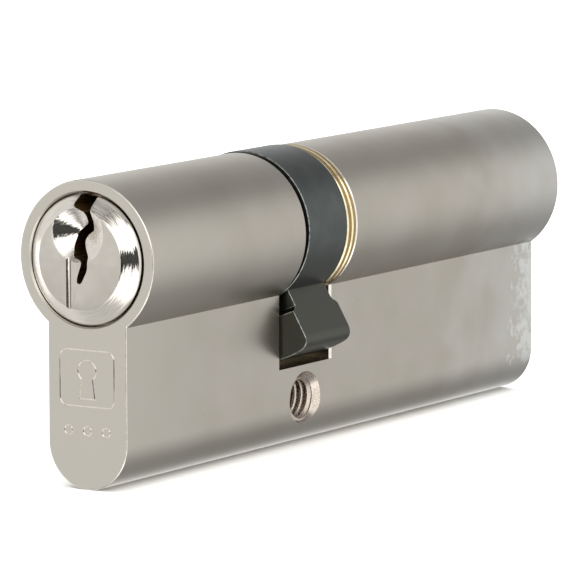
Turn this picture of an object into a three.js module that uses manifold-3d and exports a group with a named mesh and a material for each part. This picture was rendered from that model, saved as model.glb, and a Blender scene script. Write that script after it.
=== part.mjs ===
// Double-sided euro-profile door cylinder, 35/50, with two keyed plugs, ten pin stacks, a cam and a clutch.
// Millimetres. +Z up, -Y the short front end, +X the right-hand side seen from the front.
// The origin is the centre of the fixing-screw hole, and the plug axis lies above it.
import * as THREE from 'three';
import { mergeVertices } from 'three/addons/utils/BufferGeometryUtils.js';
import Module from 'manifold-3d';

const wasm = await Module();
wasm.setup();

// ---- driving dimensions ----
const FRONT_LENGTH = 35;
const REAR_LENGTH = 50;
const ROUND_R = 8.5;
const FLANGE_HALF = 5;
const FLANGE_DEPTH = 24.5; // plug axis to the foot of the flange
const AXIS_HEIGHT = 19.05; // plug axis above the fixing-screw hole
const HOLE_R = 2.25;
const HOLE_MOUTH_R = 3.1;
const HOLE_MOUTH_DEPTH = 0.8;

const SLOT_FRONT = -5.05;
const SLOT_REAR = 5.3;
const SLOT_FLOOR = 15.15; // plug axis to the floor of the cam slot

const PLUG_R = 6.35;
const PLUG_BORE_R = 6.55;
const HEAD_R = 6.95;
const HEAD_BORE_R = 7.15;
const HEAD_DEPTH = 2.1;
const HEAD_CLEARANCE = 0.3;
const FACE_R = 5.2;
const FACE_PROUD = 1.2;
const DIMPLE_R = 3.25;
const DIMPLE_DEPTH = 1.6;
const DIMPLE_X = -0.25;
const DIMPLE_HEIGHT = 2.95;
const GROOVE_X = -1.45;
const GROOVE_WIDTH = 0.6;
const GROOVE_DEPTH = 0.3;

const CHAMBER_FIRST = 6.6; // body face to the first chamber
const CHAMBER_PITCH = 4.6;
const CHAMBER_R = 1.6;
const CHAMBER_TOP = -0.2;
const PIN_R = 1.3;
const KEY_PIN_LENGTHS = [4.0, 4.6, 3.8, 5.0, 4.3];
const KEY_PIN_FOOT = -6.3;
const KEY_PIN_FOOT_EDGE = [0.6, 0.3]; // in radius and in height
const KEY_PIN_TIP = [0.35, 0.9]; // radius and height of the coned tip
const DRIVER_TOP = -6.65;
const DRIVER_LENGTH = 4.6;
const DRIVER_EDGE = 0.25;
const STOPPER_TOP = -22.8;
const STOPPER_FOOT = -24.2;
const STOPPER_R = 1.45;
const SPRING_R = 0.95;
const SPRING_WIRE_R = 0.22;
const SPRING_TURNS = 6;
const SPRING_STEPS = 6; // straight steps in each turn
const SPRING_GAP = 0.3; // between a spring and the pieces that it bears on

const CAM_FRONT = -4.4;
const CAM_REAR = 3.4;
const CAM_R = 8.5;
const CAM_OFFSET = 0.15; // the ring stands off the axis by this much, away from the nose
const CAM_BORE_R = 6.6;
const CAM_ANGLE = -21; // degrees about +Y, from pointing straight down
const NOSE_FLANK_OFFSET = 1.49; // cam axis to the plane of each flank
const NOSE_FLARE = 9.16; // degrees that each flank opens from the nose's centre line
const NOSE_TIP_R = 14.9;
const NOSE_CORNER = 1; // length of flank, and of tip, that each rounded corner takes
const NOSE_TOP_R = 6.1; // inside the ring's bore, which is cut afterwards
// The nose seen from its flank, as [y, depth below the cam axis]: narrow at the ring, wide at the tip.
const NOSE_SIDE = [
  [-4.1, NOSE_TOP_R], [-4.1, 9.85], [-4.94, 10.3], [-4.94, NOSE_TIP_R],
  [4.17, NOSE_TIP_R], [4.17, 10.35], [3.32, 9.5], [3.32, NOSE_TOP_R],
];

const WING_R = 7.6;
const WING_HALF = 1.2;
const CLUTCH_CLEARANCE = 0.2;
const CLUTCH_Y = [-2.1, -0.7];
const CLUTCH_R = 6.2;
const DOG_LENGTH = 1.2;
const DOG_HALF = [4.6, 1.1];
const DOG_SLOT_DEPTH = 1.2;
const FRONT_TAIL = -2.4;
const REAR_TAIL = 1.2;

const CLIP_OUTER_R = 7.2;
const CLIP_INNER_R = 5.75;
const CLIP_GROOVE_R = 5.55;
const CLIP_THICKNESS = 0.45;
const CLIP_GAP = 0.08; // slot wall to circlip
const CLIP_GROOVE_PLAY = 0.05; // on each side of the circlip, in the plug's groove
const CLIP_MOUTH_HALF = 2.4;
const BRASS_OUTER_R = 8.5;
const BRASS_INNER_R = 7.45;
const BRASS_RINGS = { brass_ring_inner: [3.48, 4.37], brass_ring_outer: [4.45, 5.24] };

const ROUND_SEGMENTS = 48;
const SMALL_SEGMENTS = 12;
const PAST = 1; // how far a cutter runs past the face it cuts

// ---- finishes ----
function finish(color, roughness, metalness) {
  return new THREE.MeshStandardMaterial({ color, roughness, metalness });
}

const satinNickel = () => finish(0xafaaa0, 0.38, 1);
const polishedNickel = () => finish(0xc4bfb6, 0.22, 1);
const blackenedSteel = () => finish(0x4b5050, 0.42, 1);
const springSteel = () => finish(0x8a8c8e, 0.3, 1);
const brass = () => finish(0xb59a5a, 0.3, 1);

// ---- solids ----
// A closed three.js geometry becomes a solid once its seams are merged and its zero-area corners dropped.
function solid(geometry) {
  const bare = geometry.clone();
  bare.deleteAttribute('normal');
  bare.deleteAttribute('uv');
  const merged = mergeVertices(bare, 1e-4);
  const index = merged.index.array;
  const corners = [];
  for (let i = 0; i < index.length; i += 3) {
    const [a, b, c] = [index[i], index[i + 1], index[i + 2]];
    if (a !== b && b !== c && c !== a) corners.push(a, b, c);
  }
  const vertProperties = new Float32Array(merged.attributes.position.array);
  const triVerts = new Uint32Array(corners);
  return new wasm.Manifold(new wasm.Mesh({ numProp: 3, vertProperties, triVerts }));
}

function geometryOf(shape) {
  const mesh = shape.getMesh();
  const geometry = new THREE.BufferGeometry();
  geometry.setAttribute('position', new THREE.BufferAttribute(new Float32Array(mesh.vertProperties), 3));
  geometry.setIndex(new THREE.BufferAttribute(new Uint32Array(mesh.triVerts), 1));
  geometry.computeVertexNormals();
  return geometry;
}

const subtractAll = (shape, cutters) => cutters.reduce((left, cutter) => left.subtract(cutter), shape);

// A closed profile of [radius, y] points, from the axis and back to it, turned about Y.
function turned(profile, segments = ROUND_SEGMENTS) {
  return new THREE.LatheGeometry(profile.map(([r, y]) => new THREE.Vector2(r, y)), segments);
}

// The same about Z, from [radius, z] points.
const turnedUpright = (profile, segments = SMALL_SEGMENTS) => turned(profile, segments).rotateX(Math.PI / 2);

const rodY = (r, from, to, segments) => turned([[0, from], [r, from], [r, to], [0, to]], segments);
const rodZ = (r, from, to) => turnedUpright([[0, from], [r, from], [r, to], [0, to]]);

// An outline in X and Z, drawn out along Y.
function prism(outline, from, to, curveSegments = ROUND_SEGMENTS / 2) {
  const settings = { depth: to - from, bevelEnabled: false, curveSegments };
  return new THREE.ExtrudeGeometry(outline, settings).rotateX(Math.PI / 2).translate(0, to, 0);
}

// An outline in Y and Z, drawn out along X to the same distance on both sides.
function prismAcross(outline, half) {
  const geometry = new THREE.ExtrudeGeometry(outline, { depth: 2 * half, bevelEnabled: false });
  return geometry.translate(0, 0, -half).rotateX(Math.PI / 2).rotateZ(Math.PI / 2);
}

function box(xRange, yRange, zRange) {
  const size = [xRange, yRange, zRange].map(([low, high]) => high - low);
  const middle = [xRange, yRange, zRange].map(([low, high]) => (low + high) / 2);
  return new THREE.BoxGeometry(...size).translate(...middle);
}

// ---- body: one casting, two plug housings joined under the cam slot ----
function bodyOutline() {
  const outline = new THREE.Shape();
  const corner = -Math.acos(FLANGE_HALF / ROUND_R);
  const footCentre = FLANGE_HALF - FLANGE_DEPTH;
  outline.absarc(0, 0, ROUND_R, corner, Math.PI - corner, false);
  outline.lineTo(-FLANGE_HALF, footCentre);
  outline.absarc(0, footCentre, FLANGE_HALF, Math.PI, 2 * Math.PI, false);
  outline.closePath();
  return outline;
}

// The stepped bore of one plug. face is the end of the body, and way is +1 going rearwards.
function plugBore(face, inner, way) {
  const profile = [
    [0, face - way * PAST],
    [HEAD_BORE_R, face - way * PAST],
    [HEAD_BORE_R, face + way * HEAD_DEPTH],
    [PLUG_BORE_R, face + way * HEAD_DEPTH],
    [PLUG_BORE_R, inner],
    [0, inner],
  ];
  return turned(way > 0 ? profile : profile.reverse());
}

function fixingHole() {
  const deep = FLANGE_HALF - HOLE_MOUTH_DEPTH;
  const out = FLANGE_HALF + PAST;
  const mouth = HOLE_R + ((HOLE_MOUTH_R - HOLE_R) * (PAST + HOLE_MOUTH_DEPTH)) / HOLE_MOUTH_DEPTH;
  const profile = [[0, -out], [mouth, -out], [HOLE_R, -deep], [HOLE_R, deep], [mouth, out], [0, out]];
  return turned(profile, 24).rotateZ(Math.PI / 2).translate(0, 0, -AXIS_HEIGHT);
}

function chamberPlaces() {
  const places = { front: [], rear: [] };
  for (let i = 0; i < KEY_PIN_LENGTHS.length; i += 1) {
    const inward = CHAMBER_FIRST + i * CHAMBER_PITCH;
    places.front.push(inward - FRONT_LENGTH);
    places.rear.push(REAR_LENGTH - inward);
  }
  return places;
}

const CHAMBERS = chamberPlaces();

function bodyGeometry() {
  const slot = box([-ROUND_R - PAST, ROUND_R + PAST], [SLOT_FRONT, SLOT_REAR], [-SLOT_FLOOR, ROUND_R + PAST]);
  const chambers = [...CHAMBERS.front, ...CHAMBERS.rear].map((y) =>
    solid(rodZ(CHAMBER_R, -FLANGE_DEPTH - PAST, KEY_PIN_FOOT + PAST).translate(0, y, 0)));
  return geometryOf(subtractAll(solid(prism(bodyOutline(), -FRONT_LENGTH, REAR_LENGTH)), [
    solid(plugBore(-FRONT_LENGTH, 0, 1)),
    solid(plugBore(REAR_LENGTH, 0, -1)),
    solid(slot),
    solid(fixingHole()),
    ...chambers,
  ]));
}

// ---- plugs: built face to -Y with the body's face at y = 0 ----
// The warded keyway, down its right side from the open top and back up its left.
const KEYWAY = [
  [1.8, 7.5], [1.25, 5.95], [1.2, 5.05], [1.4, 4.0], [1.3, 3.2], [0.35, 2.75], [0.0, 2.3], [0.0, 1.9],
  [0.3, 1.3], [0.95, 0.45], [0.92, -0.95], [0.2, -2.3], [-0.05, -2.45], [-0.4, -2.35], [-0.38, -1.8],
  [0.2, -0.2], [-0.1, 0.05], [-0.95, 0.35], [-1.2, 1.5], [-0.95, 2.95], [-0.25, 3.5], [0.35, 3.85],
  [0.5, 4.15], [0.45, 4.75], [0.2, 5.2], [-0.2, 5.35], [-1.0, 5.75], [-1.05, 6.0], [-0.75, 6.55], [-0.5, 7.5],
];

function plugGeometry(length, slotWall) {
  const neck = HEAD_DEPTH - HEAD_CLEARANCE;
  const grooveStart = slotWall + CLIP_GAP - CLIP_GROOVE_PLAY;
  const grooveEnd = slotWall + CLIP_GAP + CLIP_THICKNESS + CLIP_GROOVE_PLAY;
  const blank = turned([
    [0, -FACE_PROUD], [FACE_R, -FACE_PROUD], [HEAD_R, 0], [HEAD_R, neck], [PLUG_R, neck],
    [PLUG_R, grooveStart], [CLIP_GROOVE_R, grooveStart], [CLIP_GROOVE_R, grooveEnd], [PLUG_R, grooveEnd],
    [PLUG_R, length], [0, length],
  ]);
  const keyway = new THREE.Shape(KEYWAY.map(([x, z]) => new THREE.Vector2(x, z)));
  const widen = (DIMPLE_R * (PAST + DIMPLE_DEPTH)) / DIMPLE_DEPTH;
  const dimpleProfile = [
    [0, -FACE_PROUD - PAST], [widen, -FACE_PROUD - PAST], [0, DIMPLE_DEPTH - FACE_PROUD],
  ];
  const dimple = turned(dimpleProfile, 32).translate(DIMPLE_X, 0, DIMPLE_HEIGHT);
  const groove = box(
    [GROOVE_X - GROOVE_WIDTH / 2, GROOVE_X + GROOVE_WIDTH / 2],
    [-FACE_PROUD - PAST, GROOVE_DEPTH - FACE_PROUD],
    [-HEAD_R, DIMPLE_HEIGHT - DIMPLE_R / 2],
  );
  const dogSlot = box(
    [-HEAD_R, HEAD_R],
    [length - DOG_SLOT_DEPTH, length + PAST],
    [-DOG_HALF[1] - CLUTCH_CLEARANCE, DOG_HALF[1] + CLUTCH_CLEARANCE],
  );
  const chambers = KEY_PIN_LENGTHS.map((_, i) =>
    solid(rodZ(CHAMBER_R, -PLUG_R - PAST, CHAMBER_TOP).translate(0, CHAMBER_FIRST + i * CHAMBER_PITCH, 0)));
  return geometryOf(subtractAll(solid(blank), [
    solid(prism(keyway, -FACE_PROUD - PAST, length + PAST)),
    solid(dimple),
    solid(groove),
    solid(dogSlot),
    ...chambers,
  ]));
}

// ---- pin stacks ----
function keyPinGeometry(length) {
  const tip = KEY_PIN_FOOT + length;
  const [edgeWidth, edgeHeight] = KEY_PIN_FOOT_EDGE;
  const [tipR, tipHeight] = KEY_PIN_TIP;
  return turnedUpright([
    [0, KEY_PIN_FOOT], [PIN_R - edgeWidth, KEY_PIN_FOOT], [PIN_R, KEY_PIN_FOOT + edgeHeight],
    [PIN_R, tip - tipHeight], [tipR, tip], [0, tip],
  ]);
}

function driverPinGeometry() {
  const foot = DRIVER_TOP - DRIVER_LENGTH;
  const faceR = PIN_R - DRIVER_EDGE;
  return turnedUpright([
    [0, foot], [faceR, foot], [PIN_R, foot + DRIVER_EDGE],
    [PIN_R, DRIVER_TOP - DRIVER_EDGE], [faceR, DRIVER_TOP], [0, DRIVER_TOP],
  ]);
}

class Helix extends THREE.Curve {
  constructor(radius, from, to, turns) {
    super();
    Object.assign(this, { radius, from, to, turns });
  }

  getPoint(t, target = new THREE.Vector3()) {
    const angle = 2 * Math.PI * this.turns * t;
    const height = this.from + (this.to - this.from) * t;
    return target.set(this.radius * Math.cos(angle), this.radius * Math.sin(angle), height);
  }
}

const SPRING_FOOT = STOPPER_TOP + SPRING_GAP;
const SPRING_HEAD = DRIVER_TOP - DRIVER_LENGTH - SPRING_GAP;

function springGeometry() {
  const wire = new THREE.Shape().absarc(0, 0, SPRING_WIRE_R, 0, 2 * Math.PI, false);
  const coil = new Helix(SPRING_R, SPRING_FOOT + SPRING_WIRE_R, SPRING_HEAD - SPRING_WIRE_R, SPRING_TURNS);
  const steps = SPRING_TURNS * SPRING_STEPS;
  return new THREE.ExtrudeGeometry(wire, { steps, extrudePath: coil, curveSegments: 2 });
}

const stopperGeometry = () => rodZ(STOPPER_R, STOPPER_FOOT, STOPPER_TOP);

// ---- cam, clutch and rings ----
// The nose hangs straight down here, seen along the cam's axis: two flaring flanks and a rounded tip.
function noseOutline() {
  const flare = THREE.MathUtils.degToRad(NOSE_FLARE);
  const at = (r, angle) => new THREE.Vector2(r * Math.sin(angle), -r * Math.cos(angle));
  const flankAngle = (r) => flare + Math.asin(NOSE_FLANK_OFFSET / r);
  const top = at(NOSE_TOP_R, flankAngle(NOSE_TOP_R));
  const corner = at(NOSE_TIP_R, flankAngle(NOSE_TIP_R));
  const flankEnd = corner.clone().sub(at(NOSE_CORNER, flare));
  const tipEnd = flankAngle(NOSE_TIP_R) - NOSE_CORNER / NOSE_TIP_R;
  const tipPoint = at(NOSE_TIP_R, tipEnd);
  const outline = new THREE.Shape();
  outline.moveTo(-top.x, top.y);
  outline.lineTo(-flankEnd.x, flankEnd.y);
  outline.quadraticCurveTo(-corner.x, corner.y, -tipPoint.x, tipPoint.y);
  outline.absarc(0, 0, NOSE_TIP_R, 1.5 * Math.PI - tipEnd, 1.5 * Math.PI + tipEnd, false);
  outline.quadraticCurveTo(corner.x, corner.y, flankEnd.x, flankEnd.y);
  outline.lineTo(top.x, top.y);
  outline.closePath();
  return outline;
}

function camGeometry() {
  const side = new THREE.Shape(NOSE_SIDE.map(([y, depth]) => new THREE.Vector2(y, -depth)));
  const nose = solid(prism(noseOutline(), -ROUND_R, ROUND_R, 6)).intersect(solid(prismAcross(side, ROUND_R)));
  const ring = solid(rodY(CAM_R, CAM_FRONT, CAM_REAR).translate(0, 0, CAM_OFFSET));
  const bore = solid(rodY(CAM_BORE_R, CAM_FRONT - PAST, CAM_REAR + PAST));
  // The clutch's wings lie level at rest, so their grooves are turned back by the cam's own angle.
  const wings = solid(box([-WING_R, WING_R], [CAM_FRONT - PAST, CAM_REAR + PAST], [-WING_HALF, WING_HALF])
    .rotateY(-THREE.MathUtils.degToRad(CAM_ANGLE)));
  return geometryOf(ring.add(nose).subtract(bore).subtract(wings));
}

function clutchGeometry() {
  const [front, rear] = CLUTCH_Y;
  const wingReach = WING_R - CLUTCH_CLEARANCE;
  const wingSide = WING_HALF - CLUTCH_CLEARANCE;
  const dog = box(
    [-DOG_HALF[0], DOG_HALF[0]], [front - DOG_LENGTH, rear + DOG_LENGTH], [-DOG_HALF[1], DOG_HALF[1]],
  );
  return geometryOf(solid(rodY(CLUTCH_R, front, rear, 32))
    .add(solid(box([-wingReach, wingReach], [front, rear], [-wingSide, wingSide])))
    .add(solid(dog)));
}

function ringGeometry(outer, inner, from, to) {
  const blank = solid(rodY(outer, from, to));
  return blank.subtract(solid(rodY(inner, from - PAST, to + PAST)));
}

function circlipGeometry(from) {
  const to = from + CLIP_THICKNESS;
  const mouth = box([-CLIP_MOUTH_HALF, CLIP_MOUTH_HALF], [from - PAST, to + PAST], [0, CLIP_OUTER_R + PAST]);
  return geometryOf(ringGeometry(CLIP_OUTER_R, CLIP_INNER_R, from, to).subtract(solid(mouth)));
}

// ---- assembly, in heights above the plug axis ----
const lock = new THREE.Group();
const onAxis = new THREE.Group();
onAxis.position.z = AXIS_HEIGHT;
lock.add(onAxis);

function place(name, geometry, material, parent = onAxis) {
  const mesh = new THREE.Mesh(geometry, material);
  mesh.name = name;
  parent.add(mesh);
  return mesh;
}

place('body', bodyGeometry(), satinNickel());

const frontPlugShape = plugGeometry(FRONT_LENGTH + FRONT_TAIL, FRONT_LENGTH + SLOT_FRONT);
const frontPlug = place('plug_front', frontPlugShape, polishedNickel());
frontPlug.position.y = -FRONT_LENGTH;
const rearPlugShape = plugGeometry(REAR_LENGTH - REAR_TAIL, REAR_LENGTH - SLOT_REAR);
const rearPlug = place('plug_rear', rearPlugShape, polishedNickel());
rearPlug.position.y = REAR_LENGTH;
rearPlug.rotation.z = Math.PI;

const camTurned = new THREE.Group();
camTurned.rotation.y = THREE.MathUtils.degToRad(CAM_ANGLE);
onAxis.add(camTurned);
place('cam', camGeometry(), blackenedSteel(), camTurned);
place('clutch', clutchGeometry(), springSteel());

place('circlip_front', circlipGeometry(SLOT_FRONT + CLIP_GAP), springSteel());
place('circlip_rear', circlipGeometry(SLOT_REAR - CLIP_GAP - CLIP_THICKNESS), springSteel());
for (const [name, [from, to]] of Object.entries(BRASS_RINGS)) {
  place(name, geometryOf(ringGeometry(BRASS_OUTER_R, BRASS_INNER_R, from, to)), brass());
}

for (const [side, places] of Object.entries(CHAMBERS)) {
  places.forEach((y, i) => {
    const stack = new THREE.Group();
    stack.position.y = y;
    onAxis.add(stack);
    place(`key_pin_${side}_${i + 1}`, keyPinGeometry(KEY_PIN_LENGTHS[i]), brass(), stack);
    place(`driver_pin_${side}_${i + 1}`, driverPinGeometry(), springSteel(), stack);
    place(`spring_${side}_${i + 1}`, springGeometry(), springSteel(), stack);
    place(`stopper_${side}_${i + 1}`, stopperGeometry(), satinNickel(), stack);
  });
}

export default lock;
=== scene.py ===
"""A double-sided euro-profile door cylinder, 35/50, in satin nickel, standing on a pale floor."""

from math import acos, asin, cos, degrees, pi, radians, sin, sqrt

import bmesh
import bpy
from mathutils import Matrix, Vector


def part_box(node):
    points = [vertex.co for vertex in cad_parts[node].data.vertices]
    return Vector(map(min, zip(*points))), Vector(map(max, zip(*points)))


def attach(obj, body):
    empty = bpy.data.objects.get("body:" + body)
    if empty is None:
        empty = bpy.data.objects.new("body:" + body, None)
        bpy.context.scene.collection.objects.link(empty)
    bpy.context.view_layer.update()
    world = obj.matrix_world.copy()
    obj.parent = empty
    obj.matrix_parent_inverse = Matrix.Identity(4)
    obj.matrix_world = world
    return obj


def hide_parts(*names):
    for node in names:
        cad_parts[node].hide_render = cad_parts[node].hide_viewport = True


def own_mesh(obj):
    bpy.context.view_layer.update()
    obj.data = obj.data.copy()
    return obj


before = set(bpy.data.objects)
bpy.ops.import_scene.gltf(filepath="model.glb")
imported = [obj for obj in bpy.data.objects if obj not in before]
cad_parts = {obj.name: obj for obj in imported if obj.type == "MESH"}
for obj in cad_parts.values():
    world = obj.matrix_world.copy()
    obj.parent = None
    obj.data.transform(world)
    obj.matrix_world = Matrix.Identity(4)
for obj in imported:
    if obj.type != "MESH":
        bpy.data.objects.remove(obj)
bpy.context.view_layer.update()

# ---- sizes in metres: the places come from the frame, and MM turns a workshop size into metres ----
MM = 0.001
BODY_LOW, BODY_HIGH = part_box("body")
ROUND_R = (BODY_HIGH.x - BODY_LOW.x) / 2
AXIS_Z = BODY_HIGH.z - ROUND_R
AXIS = Vector((0, 0, AXIS_Z))
FRONT_Y, REAR_Y = BODY_LOW.y, BODY_HIGH.y
FOOT_Z = BODY_LOW.z
FLANGE_HALF = 5 * MM
SLOT_FRONT, SLOT_REAR = -5.05 * MM, 5.3 * MM
SLOT_FLOOR_Z = AXIS_Z - 15.15 * MM
CAM_ANGLE = radians(-21)

HEAD_R = 6.95 * MM
PLUG_R = 6.35 * MM
PROUD = 1.2 * MM  # how far a plug's face stands out of the body
CHAMBER_R = 1.6 * MM
CAM_R = 8.5 * MM
NOSE_TOP_R = 6.1 * MM  # where the cam's nose starts, inside its ring
CHAMBER_COUNT = 5
SIDES = ("front", "rear")

ROUND_STEPS = 180
FINE_STEPS = 64
PIN_STEPS = 40
PAST = 1 * MM  # how far a cutter runs past the face that it cuts


# ---- mesh work ----
def finished(name, bm, *materials, sharp=32):
    """An object at the origin whose faces shade smooth up to the sharp angle, in degrees."""
    bmesh.ops.remove_doubles(bm, verts=bm.verts, dist=1e-7)
    bmesh.ops.recalc_face_normals(bm, faces=bm.faces)
    mesh = bpy.data.meshes.new(name)
    bm.to_mesh(mesh)
    bm.free()
    for material in materials:
        mesh.materials.append(material)
    mesh.shade_smooth()
    mesh.set_sharp_from_angle(angle=radians(sharp))
    made = bpy.data.objects.new(name, mesh)
    bpy.context.scene.collection.objects.link(made)
    return made


def lathe(profile, steps=ROUND_STEPS, axis="Y", centre=AXIS):
    """A solid from (radius, along) points, turned about the axis through the centre."""
    out, way = {
        "X": (Vector((0, 0, 1)), Vector((1, 0, 0))),
        "Y": (Vector((1, 0, 0)), Vector((0, 1, 0))),
        "Z": (Vector((1, 0, 0)), Vector((0, 0, 1))),
    }[axis]
    points = [centre + out * r + way * along for r, along in profile]
    bm = bmesh.new()
    verts = [bm.verts.new(p) for p in points]
    pairs = list(zip(verts, verts[1:]))
    if profile[0][0] > 0:
        pairs.append((verts[-1], verts[0]))
    edges = [bm.edges.new(pair) for pair in pairs]
    bmesh.ops.spin(
        bm, geom=verts + edges, cent=centre, axis=way, angle=2 * pi, steps=steps, use_merge=True
    )
    bmesh.ops.remove_doubles(bm, verts=bm.verts, dist=1e-7)
    bmesh.ops.recalc_face_normals(bm, faces=bm.faces)
    return bm


def drawn(points, along, rim=None):
    """A solid from a flat outline of points, drawn along a vector. With a rim, it is only that wide an edge
    of the outline."""
    bm = bmesh.new()
    face = bm.faces.new([bm.verts.new(point) for point in points])
    faces = [face]
    if rim:
        bm.normal_update()
        inset = bmesh.ops.inset_region(bm, faces=faces, thickness=rim, use_boundary=True, use_even_offset=True)
        faces = inset["faces"]
        bmesh.ops.delete(bm, geom=[face], context="FACES_ONLY")
    grown = bmesh.ops.extrude_face_region(bm, geom=faces, use_keep_orig=True)
    moved = [v for v in grown["geom"] if isinstance(v, bmesh.types.BMVert)]
    bmesh.ops.translate(bm, verts=moved, vec=along)
    bmesh.ops.recalc_face_normals(bm, faces=bm.faces)
    return bm


def prism(outline, start, end, rim=None):
    """A solid from an outline of (x, z) points about the plug axis, drawn along Y."""
    return drawn([AXIS + Vector((x, start, z)) for x, z in outline], (0, end - start, 0), rim)


def block(low, high):
    """A rectangular solid between two corners."""
    bm = bmesh.new()
    bmesh.ops.create_cube(bm, size=1)
    bmesh.ops.scale(bm, verts=bm.verts, vec=Vector(high) - Vector(low))
    bmesh.ops.translate(bm, verts=bm.verts, vec=(Vector(low) + Vector(high)) / 2)
    return bm


def arc(radius, start, end, steps, centre=(0, 0)):
    """Points on an arc between two angles in degrees."""
    turns = [radians(start + (end - start) * i / steps) for i in range(steps + 1)]
    return [(centre[0] + radius * cos(a), centre[1] + radius * sin(a)) for a in turns]


def rounded_corners(points, times=2, share=0.22):
    """A closed outline with its corners cut again and again, until they read as curves."""
    for _ in range(times):
        cut = []
        for (ax, az), (bx, bz) in zip(points, points[1:] + points[:1]):
            cut.append((ax + (bx - ax) * share, az + (bz - az) * share))
            cut.append((bx - (bx - ax) * share, bz - (bz - az) * share))
        points = cut
    return points


def settled(piece):
    """Makes the piece's modifiers part of its mesh."""
    bpy.context.view_layer.update()
    evaluated = piece.evaluated_get(bpy.context.evaluated_depsgraph_get())
    mesh = bpy.data.meshes.new_from_object(evaluated)
    piece.modifiers.clear()
    old, piece.data = piece.data, mesh
    bpy.data.meshes.remove(old)
    mesh.name = piece.name
    return piece


def combine(piece, tools, operation="DIFFERENCE", slot=None):
    """Cuts the piece by the tools, or joins them to it. The new faces take the material in that slot, if
    one is given."""
    for bm in tools:
        if slot is not None:
            for face in bm.faces:
                face.material_index = slot
        tool = finished("tool", bm)
        change = piece.modifiers.new("change", "BOOLEAN")
        change.operation = operation
        change.solver = "EXACT"
        change.object = tool
        settled(piece)
        bpy.data.objects.remove(tool)
    return piece


def rounded(piece, width, segments=3, angle=30, slot=-1):
    """Rounds every edge that turns by more than the angle, in degrees."""
    bm = bmesh.new()
    bm.from_mesh(piece.data)
    bmesh.ops.remove_doubles(bm, verts=bm.verts, dist=2e-6)
    weights = bm.edges.layers.float.new("bevel_weight_edge")
    for edge in bm.edges:
        if edge.calc_face_angle(0) > radians(angle):
            edge[weights] = 1
    bm.to_mesh(piece.data)
    bm.free()
    bevel = piece.modifiers.new("edges", "BEVEL")
    bevel.width = width
    bevel.segments = segments
    bevel.limit_method = "WEIGHT"
    bevel.use_clamp_overlap = True
    bevel.miter_outer = "MITER_ARC"
    bevel.material = slot
    return settled(piece)


def weighted(piece, sharp=40):
    """Shades the piece so that flats stay flat and rounded edges run into them."""
    piece.data.shade_smooth()
    piece.data.set_sharp_from_angle(angle=radians(sharp))
    weight = piece.modifiers.new("weights", "WEIGHTED_NORMAL")
    weight.keep_sharp = True
    return settled(piece)


# ---- materials ----
def linear(colour):
    """A sRGB hex colour as linear RGBA."""
    channels = [int(colour[i : i + 2], 16) / 255 for i in (1, 3, 5)]
    return [c / 12.92 if c <= 0.04045 else ((c + 0.055) / 1.055) ** 2.4 for c in channels] + [1]


def wire(tree, node, inputs):
    """Sets a node's inputs to values or hex colours, or links them to a socket or to the first output in
    use of another node."""
    for name, value in inputs.items():
        if isinstance(value, bpy.types.Node):
            value = next(output for output in value.outputs if output.enabled)
        if isinstance(value, bpy.types.NodeSocket):
            tree.links.new(value, node.inputs[name])
        elif isinstance(value, str):
            node.inputs[name].default_value = linear(value)
        else:
            node.inputs[name].default_value = value


def add(tree, kind, inputs=None, **settings):
    """Adds a shader node, with its settings and its inputs."""
    made = tree.nodes.new("ShaderNode" + kind)
    for name, value in settings.items():
        setattr(made, name, value)
    wire(tree, made, inputs or {})
    return made


def metal(name):
    """A metallic material, and its tree, its shader and a point on the piece in metres."""
    material = bpy.data.materials.new(name)
    material.use_nodes = True
    tree = material.node_tree
    shader = tree.nodes["Principled BSDF"]
    shader.inputs["Metallic"].default_value = 1
    return material, tree, shader, add(tree, "TexCoord").outputs["Object"]


# Noise mostly lies in this span, so a range of tones or values is spread over it.
SPAN = {"From Min": 0.3, "From Max": 0.7}


def mottle(tree, shader, pattern, dark, light, smooth, rough):
    """Lets a pattern carry the metal from dark to light, and from smooth to rough."""
    share = add(tree, "MapRange", {**SPAN, "Value": pattern})
    roughness = add(tree, "MapRange", {**SPAN, "Value": pattern, "To Min": smooth, "To Max": rough})
    colour = add(tree, "Mix", {0: share, 6: dark, 7: light}, data_type="RGBA")
    wire(tree, shader, {"Base Color": colour, "Roughness": roughness})


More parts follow.
